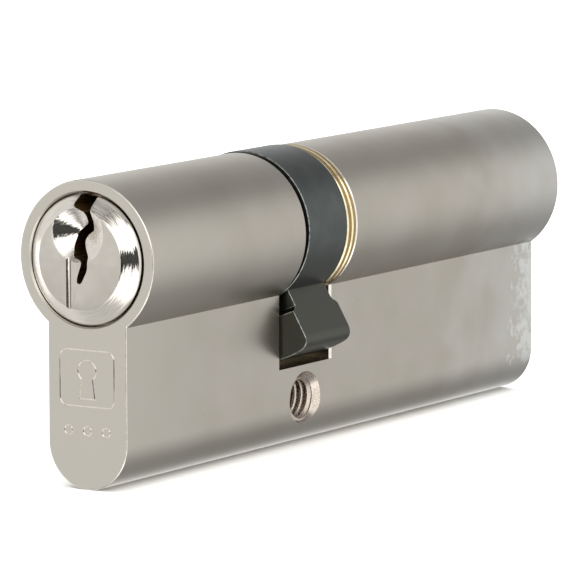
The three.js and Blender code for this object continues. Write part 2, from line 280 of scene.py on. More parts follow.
def satin_nickel():
    """Satin nickel plate on milled brass: a warm grey, blurred by a fine even grain. It pales towards both
    ends, a painted sheen for the brighter reflections there, and the plate is flecked white on the flange at
    the rear."""
    material, tree, shader, place = metal("satin_nickel")
    grain = add(tree, "TexNoise", {"Vector": place, "Scale": 1 / (0.12 * MM), "Detail": 3})
    clouds = add(tree, "TexNoise", {"Vector": place, "Scale": 1 / (6 * MM), "Detail": 2})
    speckle = add(tree, "TexNoise", {"Vector": place, "Scale": 1 / (0.9 * MM), "Detail": 5})
    x, y, z = add(tree, "SeparateXYZ", {"Vector": place}).outputs

    share = add(tree, "MapRange", {**SPAN, "Value": clouds})
    tone = add(tree, "Mix", {0: share, 6: "#BFB9AD", 7: "#C6C0B6"}, data_type="RGBA")
    # Painted sheen: the tone pales towards the front end, where the plate mirrors more light.
    front_sheen_span = {"From Min": -35 * MM, "From Max": -18 * MM, "To Min": 1, "To Max": 0}
    share = add(tree, "MapRange", {**front_sheen_span, "Value": y})
    tone = add(tree, "Mix", {0: share, 6: tone, 7: "#CBC6BB"}, data_type="RGBA")
    # Painted sheen again: the tone pales towards the rear end, along a wandering edge.
    wander = add(tree, "MapRange", {**SPAN, "Value": clouds, "To Min": -6 * MM, "To Max": 6 * MM})
    rear_sheen_place = add(tree, "Math", {0: y, 1: wander}, operation="ADD")
    share = add(tree, "MapRange", {"Value": rear_sheen_place, "From Min": 30 * MM, "From Max": 50 * MM})
    tone = add(tree, "Mix", {0: share, 6: tone, 7: "#D0CEC8"}, data_type="RGBA")

    # The flecks crowd towards the rear end, on the side of the flange and below the round.
    rear_end = {"From Min": 41.5 * MM, "From Max": 50 * MM, "To Min": 0, "To Max": 0.44}
    below_round = {"From Min": AXIS_Z - 7 * MM, "From Max": AXIS_Z - 5 * MM, "To Min": 1, "To Max": 0}
    on_side = {"From Min": 4.5 * MM, "From Max": 4.9 * MM}
    crowd = add(tree, "MapRange", {**rear_end, "Value": y})
    for value, reach in ((z, below_round), (x, on_side)):
        within = add(tree, "MapRange", {**reach, "Value": value})
        crowd = add(tree, "Math", {0: crowd, 1: within}, operation="MULTIPLY")
    flaked = add(tree, "Math", {0: speckle, 1: crowd}, operation="ADD")
    share = add(tree, "MapRange", {"Value": flaked, "From Min": 0.72, "From Max": 0.9, "To Max": 0.85})
    tone = add(tree, "Mix", {0: share, 6: tone, 7: "#EAEBE6"}, data_type="RGBA")

    roughness = add(tree, "MapRange", {**SPAN, "Value": grain, "To Min": 0.32, "To Max": 0.38})
    bump = add(tree, "Bump", {"Height": grain, "Distance": 0.0004 * MM, "Strength": 1})
    wire(tree, shader, {"Base Color": tone, "Roughness": roughness, "Normal": bump})
    return material


def worn_nickel():
    """The same plate where an edge is rubbed bright: lighter and smoother."""
    material, tree, shader, place = metal("worn_nickel")
    rub = add(tree, "TexNoise", {"Vector": place, "Scale": 1 / (0.6 * MM), "Detail": 2})
    mottle(tree, shader, rub, "#D5CFC5", "#E6E1D8", 0.14, 0.24)
    return material


def polished_nickel():
    """Nickel plate over a polished face: the tone of the satin plate, but clearer."""
    material, tree, shader, place = metal("polished_nickel")
    haze = add(tree, "TexNoise", {"Vector": place, "Scale": 1 / (1.2 * MM), "Detail": 2})
    mottle(tree, shader, haze, "#C4BEB4", "#CAC5BC", 0.16, 0.22)
    return material


def turning_rings(tree, place, spacing):
    """Noise drawn out round the plug axis, as a lathe tool leaves it."""
    stretch = 2.5
    centred = add(tree, "Mapping", {"Vector": place, "Location": -AXIS})
    x, y, z = add(tree, "SeparateXYZ", {"Vector": centred}).outputs
    spoke = add(tree, "CombineXYZ", {"X": x, "Z": z})
    radius = add(tree, "VectorMath", {0: spoke}, operation="LENGTH")
    angle = add(tree, "Math", {0: z, 1: x}, operation="ARCTAN2")
    arc_length = add(tree, "Math", {0: angle, 1: stretch * spacing}, operation="MULTIPLY")
    rings = add(tree, "CombineXYZ", {"X": radius, "Y": arc_length, "Z": y})
    return add(tree, "TexNoise", {"Vector": rings, "Scale": 1 / spacing, "Detail": 3, "Roughness": 0.6})


def turned_nickel():
    """Bright nickel over a coned face fresh from the lathe: a mirror whose fine rings tear each
    reflection's edge. The tear leans the normal a little to and fro along the rings."""
    material, tree, shader, place = metal("turned_nickel")
    rings = turning_rings(tree, place, 0.2 * MM)
    mottle(tree, shader, rings, "#CFC9BF", "#DDD8D0", 0.05, 0.1)
    bump = add(tree, "Bump", {"Height": rings, "Distance": 0.016 * MM, "Strength": 1})
    centred = add(tree, "Mapping", {"Vector": place, "Location": -AXIS})
    round_it = add(tree, "VectorMath", {0: centred, 1: (0, 1, 0)}, operation="CROSS_PRODUCT")
    along = add(tree, "VectorMath", {0: round_it}, operation="NORMALIZE")
    turned = add(tree, "VectorTransform", {"Vector": along}, convert_from="OBJECT", convert_to="WORLD")
    tear = turning_rings(tree, place, 0.12 * MM)
    lean = add(tree, "MapRange", {**SPAN, "Value": tear, "To Min": -0.06, "To Max": 0.06})
    leaned = add(tree, "VectorMath", {0: turned, "Scale": lean}, operation="SCALE")
    torn = add(tree, "VectorMath", {0: bump, 1: leaned}, operation="ADD")
    wire(tree, shader, {"Normal": add(tree, "VectorMath", {0: torn}, operation="NORMALIZE")})
    return material


def tarnished_brass():
    """The broached keyway and drilled chambers: bare brass, tarnished brown and streaked along the cut."""
    material, tree, shader, place = metal("tarnished_brass")
    along_cut = add(tree, "Mapping", {"Vector": place, "Scale": (1, 0.05, 1)})
    streaks = add(tree, "TexNoise", {"Vector": along_cut, "Scale": 1 / (0.3 * MM), "Detail": 2})
    mottle(tree, shader, streaks, "#7E6440", "#A98C5E", 0.32, 0.5)
    return material


def shaded_groove_sides():
    """The sides of the plug's groove: a dull near-black brown, painted shade for the dark lines along them."""
    material, tree, shader, place = metal("shaded_groove_sides")
    shader.inputs["Metallic"].default_value = 0.4
    speckle = add(tree, "TexNoise", {"Vector": place, "Scale": 1 / (0.15 * MM), "Detail": 3})
    # Near-black tones, painted shade in the groove.
    mottle(tree, shader, speckle, "#2A211A", "#54473A", 0.5, 0.7)
    return material


def blackened_steel():
    """Sintered steel, oiled and blackened: a dark blue-grey with a soft sheen, browner towards the nose."""
    material, tree, shader, place = metal("blackened_steel")
    grain = add(tree, "TexNoise", {"Vector": place, "Scale": 1 / (0.1 * MM), "Detail": 4})
    clouds = add(tree, "TexNoise", {"Vector": place, "Scale": 1 / (2.5 * MM), "Detail": 2})
    share = add(tree, "MapRange", {**SPAN, "Value": clouds})
    bare = add(tree, "Mix", {0: share, 6: "#575D5C", 7: "#636866"}, data_type="RGBA")
    height = add(tree, "SeparateXYZ", {"Vector": place}).outputs["Z"]
    ring_down = {"From Min": AXIS_Z - CAM_R, "From Max": AXIS_Z, "To Min": 1, "To Max": 0}
    oiled = add(tree, "MapRange", {**ring_down, "Value": height})
    tone = add(tree, "Mix", {0: oiled, 6: bare, 7: "#5A5B54"}, data_type="RGBA")
    roughness = add(tree, "MapRange", {**SPAN, "Value": grain, "To Min": 0.3, "To Max": 0.42})
    bump = add(tree, "Bump", {"Height": grain, "Distance": 0.002 * MM, "Strength": 1})
    wire(tree, shader, {"Base Color": tone, "Roughness": roughness, "Normal": bump})
    return material


def rubbed_steel():
    """The same steel where its edges are rubbed through the black: paler and smoother."""
    material, tree, shader, place = metal("rubbed_steel")
    rub = add(tree, "TexNoise", {"Vector": place, "Scale": 1 / (0.5 * MM), "Detail": 3})
    bared = add(tree, "MapRange", {"Value": rub, "From Min": 0.35, "From Max": 0.6})
    tone = add(tree, "Mix", {0: bared, 6: "#6A6E6C", 7: "#A2A49F"}, data_type="RGBA")
    roughness = add(tree, "MapRange", {**SPAN, "Value": rub, "To Min": 0.2, "To Max": 0.34})
    wire(tree, shader, {"Base Color": tone, "Roughness": roughness})
    return material


def shaded_slot_brass():
    """The milled cam slot: dull, with cutter marks, and dark brown, a painted shade for the shadow that fills
    the slot.
    """
    material, tree, shader, place = metal("shaded_slot_brass")
    marks = add(tree, "TexNoise", {"Vector": place, "Scale": 1 / (0.25 * MM), "Detail": 3})
    # The dark brown tones are painted shade for the slot's shadowed walls and floor.
    mottle(tree, shader, marks, "#776F5B", "#91876F", 0.34, 0.5)
    bump = add(tree, "Bump", {"Height": marks, "Distance": 0.004 * MM, "Strength": 1})
    wire(tree, shader, {"Normal": bump})
    return material


def turned_brass():
    """Bare brass, turned: yellow-brown, with bright and dark rings."""
    material, tree, shader, place = metal("turned_brass")
    rings = turning_rings(tree, place, 0.16 * MM)
    mottle(tree, shader, rings, "#967C50", "#CDB88A", 0.2, 0.34)
    bump = add(tree, "Bump", {"Height": rings, "Distance": 0.004 * MM, "Strength": 1})
    wire(tree, shader, {"Normal": bump})
    return material


def burnished_brass():
    """The brass where a broken edge is burnished: pale, and almost a mirror."""
    material, tree, shader, place = metal("burnished_brass")
    rub = add(tree, "TexNoise", {"Vector": place, "Scale": 1 / (0.5 * MM), "Detail": 2})
    mottle(tree, shader, rub, "#DCCB9E", "#F0E6C8", 0.12, 0.22)
    return material


def tapped_brass():
    """The tapped and countersunk hole: plate thin over freshly cut brass, so warmer and shinier than the
    sides, with chatter from the tool."""
    material, tree, shader, place = metal("tapped_brass")
    chatter = add(tree, "TexNoise", {"Vector": place, "Scale": 1 / (0.16 * MM), "Detail": 2})
    mottle(tree, shader, chatter, "#B9AB9C", "#E0D6CC", 0.14, 0.28)
    bump = add(tree, "Bump", {"Height": chatter, "Distance": 0.006 * MM, "Strength": 1})
    wire(tree, shader, {"Normal": bump})
    return material


def drawn_steel():
    """Drawn spring steel: bright grey, faintly marked by the die."""
    material, tree, shader, place = metal("drawn_steel")
    marks = add(tree, "TexNoise", {"Vector": place, "Scale": 1 / (0.2 * MM), "Detail": 2})
    mottle(tree, shader, marks, "#8E9093", "#A6A8AA", 0.2, 0.32)
    bump = add(tree, "Bump", {"Height": marks, "Distance": 0.002 * MM, "Strength": 1})
    wire(tree, shader, {"Normal": bump})
    return material


def pale_board():
    """Matt white board for the floor, with the faintest tooth."""
    material = bpy.data.materials.new("pale_board")
    material.use_nodes = True
    tree = material.node_tree
    place = add(tree, "TexCoord").outputs["Object"]
    tooth = add(tree, "TexNoise", {"Vector": place, "Scale": 1 / (0.5 * MM), "Detail": 2})
    tone = add(tree, "Mix", {0: tooth, 6: "#F1F0EE", 7: "#F5F4F2"}, data_type="RGBA")
    matt = {"Base Color": tone, "Roughness": 0.9, "Specular IOR Level": 0.1}
    wire(tree, tree.nodes["Principled BSDF"], matt)
    return material


SATIN = satin_nickel()
WORN = worn_nickel()
POLISHED = polished_nickel()
TURNED = turned_nickel()
TARNISHED = tarnished_brass()
GROOVE_SHADE = shaded_groove_sides()
DARK = blackened_steel()
DARK_EDGE = rubbed_steel()
BRASS = turned_brass()
BRASS_EDGE = burnished_brass()
TAPPED = tapped_brass()
SLOT_SHADE = shaded_slot_brass()
STEEL = drawn_steel()


def put(piece, body, slot, *nodes):
    """Puts a piece on its body, in place of its CAD nodes. The finish slot is not used."""
    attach(piece, body)
    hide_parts(*nodes)
    return piece


# ---- the body ----
def body_outline():
    """The euro section about the plug axis: the round, and the flange with its round foot."""
    corner = degrees(acos(FLANGE_HALF / ROUND_R))
    foot = FOOT_Z - AXIS_Z + FLANGE_HALF
    round_part = arc(ROUND_R, -corner, 180 + corner, ROUND_STEPS)
    return round_part + arc(FLANGE_HALF, 180, 360, FINE_STEPS, centre=(0, foot))


def plug_bore(face, inner, way):
    """The stepped bore for one plug, with a broken edge at its mouth. way is 1 going rearwards."""
    head_bore, plug_bore_r = 7.15 * MM, 6.55 * MM
    step, mouth = 2.1 * MM, 0.18 * MM
    profile = [
        (0, face - way * PAST),
        (head_bore + mouth + PAST, face - way * PAST),
        (head_bore, face + way * mouth),
        (head_bore, face + way * step),
        (plug_bore_r, face + way * step),
        (plug_bore_r, inner),
        (0, inner),
    ]
    return lathe(profile)


def fixing_thread():
    """A cutter with an M5 thread, screwed along X through the flange at the origin."""
    pitch, crest, root = 0.8 * MM, 2.12 * MM, 2.5 * MM
    turns, steps = 14, 44
    shape = [(0, root), (0.12, root), (0.46, crest), (0.66, crest), (1, root)]  # in pitches along
    start = -turns * pitch / 2
    bm = bmesh.new()
    verts = [bm.verts.new((start + at * pitch - pitch / 2, 0, r)) for at, r in shape]
    edges = [bm.edges.new(pair) for pair in zip(verts, verts[1:])]
    bmesh.ops.spin(
        bm,
        geom=verts + edges,
        cent=(0, 0, 0),
        axis=(1, 0, 0),
        dvec=(pitch / steps, 0, 0),
        angle=2 * pi * turns,
        steps=steps * turns,
    )
    bmesh.ops.remove_doubles(bm, verts=bm.verts, dist=1e-6)
    bmesh.ops.holes_fill(bm, edges=[e for e in bm.edges if e.is_boundary], sides=0)
    bmesh.ops.triangulate(bm, faces=[f for f in bm.faces if len(f.verts) > 4])
    bmesh.ops.recalc_face_normals(bm, faces=bm.faces)
    return bm


def fixing_mouth(way):
    """The countersink where the screw comes in, on the side that way points to."""
    outer, inner, depth = 3.15 * MM, 2.4 * MM, 0.7 * MM
    flare = outer + (outer - inner) * PAST / depth
    profile = [
        (0, way * (FLANGE_HALF - depth)),
        (inner, way * (FLANGE_HALF - depth)),
        (flare, way * (FLANGE_HALF + PAST)),
        (0, way * (FLANGE_HALF + PAST)),
    ]
    return lathe(profile, FINE_STEPS, axis="X", centre=Vector())


def chamber_places():
    """Where each pin chamber stands along Y, by its side and number."""
    places = {}
    for side in SIDES:
        for number in range(1, CHAMBER_COUNT + 1):
            low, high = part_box(f"driver_pin_{side}_{number}")
            places[side, number] = (low.y + high.y) / 2
    return places


CHAMBERS = chamber_places()


def upright(radius, y, low, high, steps=PIN_STEPS):
    """An upright cylinder through a pin chamber."""
    profile = [(0, low), (radius, low), (radius, high), (0, high)]
    return lathe(profile, steps, axis="Z", centre=Vector((0, y, 0)))


def slot_chamfers():
    """The broken edges where the cam slot meets the flange sides and the rounds. Each is as wide on the
    flange and on the round as it is given."""
    over = 0.1 * MM
    junction = AXIS_Z - sqrt(ROUND_R**2 - FLANGE_HALF**2)
    front_edges = (SLOT_FRONT, -1, 0.2 * MM, 0.22 * MM)
    rear_edges = (SLOT_REAR, 1, 0.23 * MM, 0.13 * MM)
    made = []
    for wall, way, flat, turned in (front_edges, rear_edges):
        near = wall - way * over
        for side in (1, -1):
            far_x, far_y = side * (FLANGE_HALF + PAST), wall + way * (flat + PAST)
            corners = [(side * (FLANGE_HALF - flat - over), near), (far_x, far_y), (far_x, near)]
            rise = (0, 0, junction - SLOT_FLOOR_Z)
            made.append(drawn([(x, y, SLOT_FLOOR_Z) for x, y in corners], rise))
        inner, outer = ROUND_R - turned - over, ROUND_R + PAST
        ring = lathe([(inner, near), (outer, wall + way * (turned + PAST)), (outer, near)])
        bmesh.ops.bisect_plane(
            ring,
            geom=ring.verts[:] + ring.edges[:] + ring.faces[:],
            plane_co=(0, 0, junction),
            plane_no=(0, 0, -1),
            clear_outer=True,
        )
        bmesh.ops.holes_fill(ring, edges=[e for e in ring.edges if e.is_boundary], sides=0)
        made.append(ring)
    return made


def rounded_box(width, height, corner, centre_z):
    """The outline of an upright box with round corners."""
    x, z = width / 2 - corner, height / 2 - corner
    points = []
    for turn, (cx, cz) in enumerate([(x, z), (-x, z), (-x, -z), (x, -z)]):
        points += arc(corner, 90 * turn, 90 * turn + 90, 6, centre=(cx, centre_z + cz))
    return points


def stamped_mark():
    """A plain keyhole in a frame, with three rings below it, stamped lightly in the front of the flange."""
    line, deep, middle = 0.16 * MM, 0.09 * MM, -12.6 * MM
    edge = line / 2
    hole_r, skirt, foot = 1.15 * MM + edge, 1.0 * MM + edge, 2.2 * MM + edge
    keyhole = arc(hole_r, -50, 230, 24, centre=(0, middle + 0.8 * MM))
    keyhole += [(-skirt, middle - foot), (skirt, middle - foot)]
    frame_edge = rounded_box(6.9 * MM + line, 6.0 * MM + line, 0.9 * MM + edge, middle)
    paths = [frame_edge, keyhole]
    for x in (-2.4 * MM, 0, 2.4 * MM):
        paths.append(arc(0.5 * MM + edge, 0, 345, 23, centre=(x, -18.2 * MM)))
    return [prism(path, FRONT_Y - PAST, FRONT_Y + deep, rim=line) for path in paths]


def lock_body():
    """The body: the bar with its edges rounded, then bored, slotted, drilled, stamped and tapped."""
    blank = prism(body_outline(), FRONT_Y, REAR_Y)
    body = finished("lock_body", blank, SATIN, WORN, TAPPED, SLOT_SHADE)
    rounded(body, 0.15 * MM, angle=60, slot=1)
    combine(body, [plug_bore(FRONT_Y, 0, 1), plug_bore(REAR_Y, 0, -1)])
    wide, high = ROUND_R + PAST, BODY_HIGH.z + PAST
    # The slot's walls and floor take painted shade: a dark brown brass.
    combine(body, [block((-wide, SLOT_FRONT, SLOT_FLOOR_Z), (wide, SLOT_REAR, high))], slot=3)
    combine(body, slot_chamfers(), slot=1)
    combine(body, [fixing_mouth(1), fixing_mouth(-1)], slot=2)
    top = AXIS_Z - PLUG_R + PAST
    combine(body, [upright(CHAMBER_R, y, FOOT_Z - PAST, top) for y in CHAMBERS.values()])
    combine(body, stamped_mark(), slot=1)
    combine(body, [fixing_thread()], slot=2)
    return put(weighted(body), "root", "satin_nickel", "body")


# ---- the plugs ----
# The warded keyway in millimetres from the plug axis, down its right side and back up its left.
KEYWAY = [
    (1.8, 7.5), (1.25, 5.95), (1.2, 5.05), (1.4, 4.0), (1.3, 3.2), (0.35, 2.75), (0.0, 2.3), (0.0, 1.9),
    (0.3, 1.3), (0.95, 0.45), (0.92, -0.95), (0.2, -2.3), (-0.05, -2.45), (-0.4, -2.35), (-0.38, -1.8),
    (0.2, -0.2), (-0.1, 0.05), (-0.95, 0.35), (-1.2, 1.5), (-0.95, 2.95), (-0.25, 3.5), (0.35, 3.85),
    (0.5, 4.15), (0.45, 4.75), (0.2, 5.2), (-0.2, 5.35), (-1.0, 5.75), (-1.05, 6.0), (-0.75, 6.55),
    (-0.5, 7.5),
]


def slope(start, end, steps=8):
    """Points evenly along a straight slope, without its ends."""
    return [tuple(Vector(start).lerp(Vector(end), i / steps)) for i in range(1, steps)]


def plug_blank(length, slot_wall):
    """The turned plug with its proud, coned face at FRONT_Y."""
    face_r, neck, edge = 5.2 * MM, 1.8 * MM, 0.1 * MM
    groove_r, groove = 5.55 * MM, (slot_wall + 0.03 * MM, slot_wall + 0.58 * MM)
    cone = ((face_r, -PROUD), (HEAD_R - edge, -edge / 2))
    profile = [(0, -PROUD), cone[0], *slope(*cone), cone[1], (HEAD_R, edge), (HEAD_R, neck)]
    profile += [
        (PLUG_R, neck), (PLUG_R, groove[0]), (groove_r, groove[0]), (groove_r, groove[1]),
        (PLUG_R, groove[1]), (PLUG_R, length - edge), (PLUG_R - edge, length), (0, length),
    ]
    bm = lathe([(r, FRONT_Y + along) for r, along in profile])
    for face in bm.faces:
        if 0.6 < -face.normal.y < 0.95:  # the cone, between the flat face and the straight sides
            face.material_index = 1
    return bm


def dimple_cutter(face):
    """The coned dimple that guides the key in."""
    radius, depth = 3.25 * MM, 1.6 * MM
    wide = radius * (PAST + depth) / depth
    centre = AXIS + Vector((-0.25 * MM, 0, 2.95 * MM))
    mouth, apex = (wide, face - PAST), (0, face + depth)
    return lathe([(0, face - PAST), mouth, *slope(mouth, apex, 24), apex], 128, centre=centre)


def groove_cutter(face, radius, depth):
    """The round-bottomed groove from the dimple down to the edge of the plug."""
    low, high = AXIS_Z - HEAD_R - PAST, AXIS_Z + 1.3 * MM
    profile = [(0, low), (radius, low), (radius, high), (0, high)]
    return lathe(profile, PIN_STEPS, axis="Z", centre=Vector((-1.45 * MM, face + depth - radius, 0)))


def plug_slots(length):
    """The keyway, the pin chambers and the slot that the clutch enters, for a plug made at the front."""
    outline = rounded_corners([(x * MM, z * MM) for x, z in KEYWAY], share=0.14)
    keyway = prism(outline, FRONT_Y - PROUD - PAST, FRONT_Y + length + PAST)
    half, deep, end = 1.3 * MM, 1.2 * MM, FRONT_Y + length
    dog_slot = block((-HEAD_R, end - deep, AXIS_Z - half), (HEAD_R, end + PAST, AXIS_Z + half))
    chambers = [
        upright(CHAMBER_R, CHAMBERS["front", n], AXIS_Z - HEAD_R - PAST, AXIS_Z - 0.2 * MM)
        for n in range(1, CHAMBER_COUNT + 1)
    ]
    return [keyway, dog_slot] + chambers


def lock_plug(side):
    """One plug. It is made at the front, and the rear one is turned round and moved to its own end."""
    low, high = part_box(f"plug_{side}")
    length = high.y - low.y - PROUD
    slot_wall = SLOT_FRONT - FRONT_Y if side == "front" else REAR_Y - SLOT_REAR
    face = FRONT_Y - PROUD
    blank = plug_blank(length, slot_wall)
    plug = finished(f"keyed_plug_{side}", blank, POLISHED, TURNED, WORN, TARNISHED, GROOVE_SHADE)
    combine(plug, [dimple_cutter(face)], slot=1)
    # The wider groove's sides take a near-black brown, painted shade.
    combine(plug, [groove_cutter(face, 0.45 * MM, 0.13 * MM)], slot=4)
    combine(plug, [groove_cutter(face, 0.25 * MM, 0.16 * MM)], slot=1)
    combine(plug, plug_slots(length), slot=3)
    rounded(plug, 0.04 * MM, segments=2, slot=2)
    if side == "rear":
        half_turn = Matrix.Rotation(pi, 4, "Z")
        plug.data.transform(Matrix.Translation((0, REAR_Y + FRONT_Y, 0)) @ half_turn)
    return put(weighted(plug), f"{side}_plug", "plug_nickel", f"plug_{side}")


# ---- cam, rings, clips and clutch ----
def nose_outline():
    """The cam's nose along its axis, hanging straight down: two flaring flanks and a rounded tip."""
    offset, flare, tip_r, corner = 1.49 * MM, radians(9.16), 14.9 * MM, 1.3 * MM
    steps = 8

    def at(radius, angle):
        return Vector((radius * sin(angle), -radius * cos(angle)))

    meeting = at(tip_r, flare + asin(offset / tip_r))
    flank_end = meeting - at(corner, flare)
    tip_turn = flare + asin(offset / tip_r) - corner / tip_r
    tip_end = at(tip_r, tip_turn)
    right = [at(NOSE_TOP_R, flare + asin(offset / NOSE_TOP_R))]
    for i in range(steps + 1):
        t = i / steps
        right.append(flank_end * (1 - t) ** 2 + meeting * 2 * t * (1 - t) + tip_end * t**2)
    tip = arc(tip_r, 270 + degrees(tip_turn), 270 - degrees(tip_turn), 16)[1:-1]
    left = [(-p.x, p.y) for p in reversed(right)]
    return [tuple(p) for p in right] + tip + left


def nose_side():
    """The nose across its flanks: narrow at the ring, then stepping out to the wide tip."""
    top, past_tip = NOSE_TOP_R / MM, 16.5
    outline = [
        (-4.1, top), (-4.1, 9.85), (-4.94, 10.3), (-4.94, past_tip), (4.17, past_tip), (4.17, 10.45),
        (3.95, 10.15), (3.5, 9.9), (3.32, 9.5), (3.32, top),
    ]  # millimetres along Y, and down from the plug axis
    points = [(-ROUND_R, y * MM, AXIS_Z - depth * MM) for y, depth in outline]
    return drawn(points, (2 * ROUND_R, 0, 0))


def lock_cam():
    """The cam: a ring that stands a little off the axis, with the nose grown into it, bored and slotted."""
    front, rear, standing_off, bore_r, edge = -4.4 * MM, 3.4 * MM, 0.15 * MM, 6.6 * MM, 0.1 * MM
    wing_r, wing_half = 7.6 * MM, 1.2 * MM
    turn = Matrix.Rotation(CAM_ANGLE, 4, "Y")
    nose = finished("nose", prism(nose_outline(), -ROUND_R, ROUND_R), DARK, DARK_EDGE)
    combine(nose, [nose_side()], "INTERSECT")
    rounded(nose, edge, slot=1)
    nose.data.transform(Matrix.Translation(AXIS) @ turn @ Matrix.Translation(-AXIS))
    nose_mesh = bmesh.new()
    nose_mesh.from_mesh(nose.data)
    bpy.data.objects.remove(nose)
    centre = AXIS + turn @ Vector((0, 0, standing_off))
    ring = lathe([(0, front), (CAM_R, front), (CAM_R, rear), (0, rear)], centre=centre)
    cam = finished("drive_cam", ring, DARK, DARK_EDGE)
    rounded(cam, edge, angle=60, slot=1)
    combine(cam, [nose_mesh], "UNION")
    start, end = front - PAST, rear + PAST
    bore = lathe([(0, start), (bore_r, start), (bore_r, end), (0, end)])
    wings = block((-wing_r, start, AXIS_Z - wing_half), (wing_r, end, AXIS_Z + wing_half))
    combine(cam, [bore, wings])
    return put(weighted(cam), "cam", "cam_steel", "cam")


def brass_ring(name):
    """A turned spacer ring with broken outer edges and two fine grooves."""
    low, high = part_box(name)
    outer, inner = (high.x - low.x) / 2, 7.45 * MM
    edge, groove = 0.14 * MM, 0.06 * MM
    middle = (low.y + high.y) / 2
    grooves = (middle - 0.12 * MM, middle + 0.14 * MM)
    profile = [(inner, low.y), (outer - edge, low.y), (outer, low.y + edge)]
    for centre in grooves:
        profile += [(outer, centre - groove), (outer - groove, centre), (outer, centre + groove)]
    profile += [(outer, high.y - edge), (outer - edge, high.y), (inner, high.y)]
    bm = lathe(profile)
    for face in bm.faces:
        if min(abs(face.calc_center_median().y - centre) for centre in grooves) < groove:
            face.material_index = 2
        elif 0.3 < abs(face.normal.y) < 0.95:  # a broken edge, between the rim and the flat sides
            face.material_index = 1
    ring = finished(name + "_turned", bm, BRASS, BRASS_EDGE, TARNISHED)
    return put(ring, "root", "brass", name)


def circlip(side):
    """The open spring clip that holds a plug in."""
    low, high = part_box(f"circlip_{side}")
    inner, outer, mouth = 5.75 * MM, (high.x - low.x) / 2, 2.4 * MM
    ring = [(inner, low.y), (outer, low.y), (outer, high.y), (inner, high.y)]
    clip = finished(f"spring_clip_{side}", lathe(ring, 96), STEEL)
    opening = block((-mouth, low.y - PAST, AXIS_Z), (mouth, high.y + PAST, BODY_HIGH.z + PAST))
    combine(clip, [opening])
    rounded(clip, 0.08 * MM, segments=2)
    return put(weighted(clip), f"{side}_plug", "spring_steel", f"circlip_{side}")


def lock_clutch():
    """A disc with two wings that slide in the cam, and a bar on each face that enters a plug."""
    front, rear, disc_r = -2.1 * MM, -0.7 * MM, 6.2 * MM
    wing_r, wing_half = 7.4 * MM, 1 * MM
    bar_r, bar_half, bar_proud = 4.6 * MM, 1.1 * MM, 1.2 * MM
    disc = lathe([(0, front), (disc_r, front), (disc_r, rear), (0, rear)], 96)
    clutch = finished("sliding_clutch", disc, STEEL)
    wings = block((-wing_r, front, AXIS_Z - wing_half), (wing_r, rear, AXIS_Z + wing_half))
    bar = block(
        (-bar_r, front - bar_proud, AXIS_Z - bar_half), (bar_r, rear + bar_proud, AXIS_Z + bar_half)
    )
    combine(clutch, [wings, bar], "UNION")
    rounded(clutch, 0.1 * MM, segments=2)
    return put(weighted(clutch), "clutch", "spring_steel", "clutch")


# ---- pin stacks ----
def key_pin(side, number, y):
    """A brass pin with a rounded foot and a tapered tip, which the key lifts."""
    node = f"key_pin_{side}_{number}"
    low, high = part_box(node)
    radius, tip = 1.3 * MM, 0.9 * MM
    foot = [(0, 0), (0.7 * MM, 0), (1.1 * MM, 0.12 * MM), (radius, 0.32 * MM)]
    point = [(radius, -tip), (0.42 * MM, -0.1 * MM), (0.3 * MM, 0), (0, 0)]
    profile = [(r, low.z + up) for r, up in foot] + [(r, high.z + up) for r, up in point]
    pin = finished(node + "_turned", lathe(profile, PIN_STEPS, "Z", Vector((0, y, 0))), BRASS)
    return put(pin, node, "brass", node)


def driver_pin(side, number, y):
    """A steel pin with broken edges, and with a waist in every second chamber."""
    node = f"driver_pin_{side}_{number}"
    low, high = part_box(node)
    radius, edge, waist, head, neck = 1.3 * MM, 0.25 * MM, 0.95 * MM, 1.1 * MM, 1.4 * MM
    profile = [(0, low.z), (radius - edge, low.z), (radius, low.z + edge)]
    if number % 2 == 0:
        profile += [(radius, low.z + head), (waist, low.z + neck)]
        profile += [(waist, high.z - neck), (radius, high.z - head)]
    profile += [(radius, high.z - edge), (radius - edge, high.z), (0, high.z)]
    pin = finished(node + "_turned", lathe(profile, PIN_STEPS, "Z", Vector((0, y, 0))), STEEL)
    return put(pin, node, "spring_steel", node)


def pin_spring(side, number, y):
    """A coil spring, with the driver pin above it."""
    node = f"spring_{side}_{number}"
    low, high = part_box(node)
    wire, mean_r, turns, steps, drop = 0.2 * MM, 0.95 * MM, 8, 24, 1.6 * MM
    rise = high.z - low.z - 2 * wire
    bm = bmesh.new()
    section = bmesh.ops.create_circle(bm, segments=8, radius=wire)["verts"]
    bmesh.ops.rotate(bm, verts=section, cent=(0, 0, 0), matrix=Matrix.Rotation(pi / 2, 3, "X"))
    bmesh.ops.translate(bm, verts=section, vec=(mean_r, y, low.z + wire))
    grown = bmesh.ops.spin(
        bm,
        geom=bm.verts[:] + bm.edges[:],
        cent=(0, y, 0),
        axis=(0, 0, 1),
        dvec=(0, 0, rise / (turns * steps)),
        angle=2 * pi * turns,
        steps=turns * steps,
    )
    bmesh.ops.holes_fill(bm, edges=[e for e in bm.edges if e.is_boundary], sides=0)
    coil = put(finished(node + "_coil", bm, STEEL), "root", "spring_steel", node)
    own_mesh(coil)
    return coil


def stopper(side, number, y):
    """The plug pressed into the foot of a chamber and dressed flush with the flange."""
    node = f"stopper_{side}_{number}"
    radius, reach = 1.56 * MM, 3 * MM
    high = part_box(node)[1]
    plug = finished(node + "_pressed", upright(radius, y, FOOT_Z - PAST, high.z), SATIN)
    combine(plug, [prism(body_outline(), y - reach, y + reach)], "INTERSECT")
    return put(weighted(plug), "root", "satin_nickel", node)


